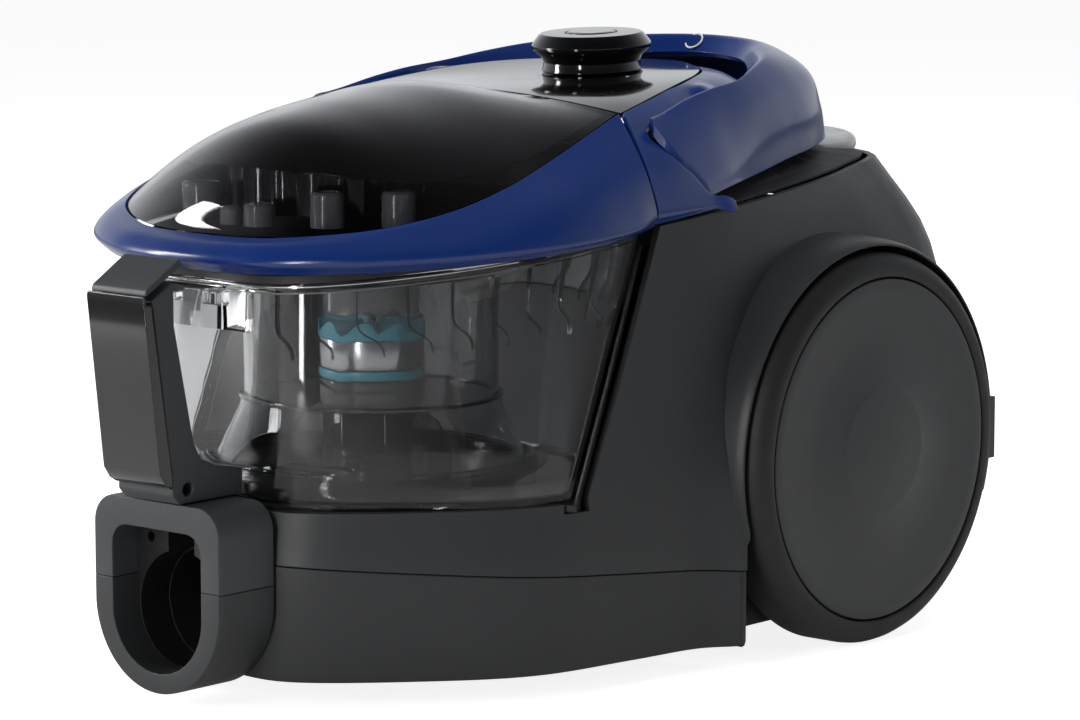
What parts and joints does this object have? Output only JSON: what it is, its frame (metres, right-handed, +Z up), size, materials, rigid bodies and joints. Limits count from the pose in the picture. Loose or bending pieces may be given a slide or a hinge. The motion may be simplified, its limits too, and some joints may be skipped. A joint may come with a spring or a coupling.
{
  "type": "canister vacuum cleaner",
  "caption": "Bagless canister vacuum cleaner with a lift-out clear cyclone bin, large side wheels, a swivel caster, a rear carry handle and a turn dial on top.",
  "frame": {"origin": "floor under the centre of the bounding box", "axes": "+Z up; -Y towards the hose inlet at the front; +X towards the right-hand wheel"},
  "size_m": [0.272, 0.398, 0.2439],
  "materials": {
    "body_grey": "dark grey satin shell plastic",
    "base_grey": "dark grey satin base plastic",
    "collar_grey": "mid grey satin plastic",
    "blue_gloss": "navy blue lacquered plastic",
    "black_gloss": "piano black plastic",
    "black_matte": "black matt plastic",
    "grey_gloss": "light grey gloss plastic",
    "clear_smoke": "clear smoke-tinted plastic",
    "lens_smoke": "dark smoke-tinted clear plastic",
    "teal": "teal plastic",
    "silver": "satin silver band",
    "tyre_rubber": "black wheel rubber",
    "wheel_grey": "dark grey satin wheel disc",
    "steel": "plain steel",
    "copper": "copper windings",
    "foam": "open grey filter foam",
    "filter_paper": "pleated filter paper",
    "pcb_green": "green circuit board",
    "soft_rubber": "soft black rubber"
  },
  "bodies": {
    "housing": {"body_shell": "body_grey", "base_housing": "base_grey", "base_screw_1": "steel", "base_screw_2": "steel", "inlet_collar_upper": "collar_grey", "inlet_collar_lower": "base_grey", "inlet_socket": "black_matte", "inlet_duct": "black_matte", "bay_liner": "black_matte", "top_cover": "black_matte", "control_panel": "black_gloss", "control_pcb": "pcb_green", "deck_trim": "blue_gloss", "rear_cap": "grey_gloss", "hepa_filter": "filter_paper", "cord_outlet": "soft_rubber", "rear_foot_right": "body_grey", "rear_foot_left": "body_grey", "wheel_axle_right": "steel", "wheel_axle_left": "steel", "motor_housing": "black_matte", "motor_mount_front": "soft_rubber", "motor_mount_rear": "soft_rubber", "motor_stator": "copper", "prefilter_frame": "black_matte", "prefilter_sponge": "foam", "reel_axle": "steel"},
    "bin": {"dust_cup": "clear_smoke", "cyclone_cylinder": "clear_smoke", "cyclone_skirt": "clear_smoke", "turbine_cup": "black_gloss", "grip_cover": "black_gloss", "grip_back": "collar_grey"},
    "lid": {"lid_ring": "blue_gloss", "lid_lens": "lens_smoke", "lid_frame": "black_matte", "lid_seal": "soft_rubber", "outlet_tube": "clear_smoke"},
    "turbine": {"turbine_ring": "teal", "turbine_band": "silver", "turbine_blades": "teal"},
    "button": {"release_button": "collar_grey"},
    "dial": {"suction_dial": "black_gloss"},
    "power": {"power_button": "black_gloss"},
    "handle": {"carry_handle": "blue_gloss"},
    "exhaust_door": {"exhaust_cover": "body_grey"},
    "wheel_r": {"tyre_right": "tyre_rubber", "wheel_hub_right": "black_matte", "wheel_cap_right": "wheel_grey"},
    "wheel_l": {"tyre_left": "tyre_rubber", "wheel_hub_left": "black_matte", "wheel_cap_left": "wheel_grey"},
    "caster": {"caster_fork": "black_matte"},
    "caster_roll": {"caster_wheel": "tyre_rubber"},
    "motor": {"motor_fan": "steel", "motor_rotor": "steel"},
    "reel": {"cord_reel": "black_matte"},
    "roller": {"brake_roller": "soft_rubber"}
  },
  "joints": [
    {"name": "bin_lift", "type": "slide", "parent": "housing", "child": "bin", "axis": [0, -0.5, 0.866], "range_m": [0, 0.13]},
    {"name": "lid_lift", "type": "slide", "parent": "bin", "child": "lid", "axis": [0, 0, 1], "range_m": [0, 0.022]},
    {"name": "turbine_spin", "type": "hinge", "parent": "bin", "child": "turbine", "pos_m": [0, -0.06, 0.12], "axis": [0, 0, 1], "continuous": true},
    {"name": "button_press", "type": "slide", "parent": "bin", "child": "button", "axis": [0, 0.4591, -0.8884], "range_m": [0, 0.0025], "stiffness_N_per_m": 400, "springref_m": -0.004},
    {"name": "dial_turn", "type": "hinge", "parent": "housing", "child": "dial", "pos_m": [0, 0.0737, 0.2273], "axis": [0, -0.0436, 0.999], "range_deg": [-135, 135]},
    {"name": "power_press", "type": "slide", "parent": "dial", "child": "power", "axis": [0, 0.0436, -0.999], "range_m": [0, 0.0025], "stiffness_N_per_m": 400, "springref_m": -0.003},
    {"name": "handle_press", "type": "hinge", "parent": "housing", "child": "handle", "pos_m": [0, 0.042, 0.2], "axis": [-1, 0, 0], "range_deg": [0, 1.5], "stiffness_Nm_per_rad": 6, "springref_deg": -4.58},
    {"name": "exhaust_open", "type": "hinge", "parent": "housing", "child": "exhaust_door", "pos_m": [0, 0.1975, 0.0886], "axis": [-1, 0, 0], "range_deg": [0, 75]},
    {"name": "wheel_right_roll", "type": "hinge", "parent": "housing", "child": "wheel_r", "pos_m": [0.12, 0.098, 0.0795], "axis": [1, 0, 0], "continuous": true},
    {"name": "wheel_left_roll", "type": "hinge", "parent": "housing", "child": "wheel_l", "pos_m": [-0.12, 0.098, 0.0795], "axis": [1, 0, 0], "continuous": true},
    {"name": "caster_swivel", "type": "hinge", "parent": "housing", "child": "caster", "pos_m": [0, -0.045, 0.03], "axis": [0, 0, 1], "continuous": true},
    {"name": "caster_roll", "type": "hinge", "parent": "caster", "child": "caster_roll", "pos_m": [0, -0.038, 0.013], "axis": [1, 0, 0], "continuous": true},
    {"name": "motor_spin", "type": "hinge", "parent": "housing", "child": "motor", "pos_m": [0, 0.09, 0.112], "axis": [0, 1, 0], "continuous": true},
    {"name": "reel_spin", "type": "hinge", "parent": "housing", "child": "reel", "pos_m": [0, 0.12, 0.03], "axis": [0, 0, 1], "continuous": true},
    {"name": "roller_spin", "type": "hinge", "parent": "housing", "child": "roller", "pos_m": [-0.0472, 0.1672, 0.047], "axis": [0, 0, 1], "continuous": true}
  ],
  "couplings": [
    {"joint": "roller_spin", "follows": "reel_spin", "ratio": -10}
  ]
}
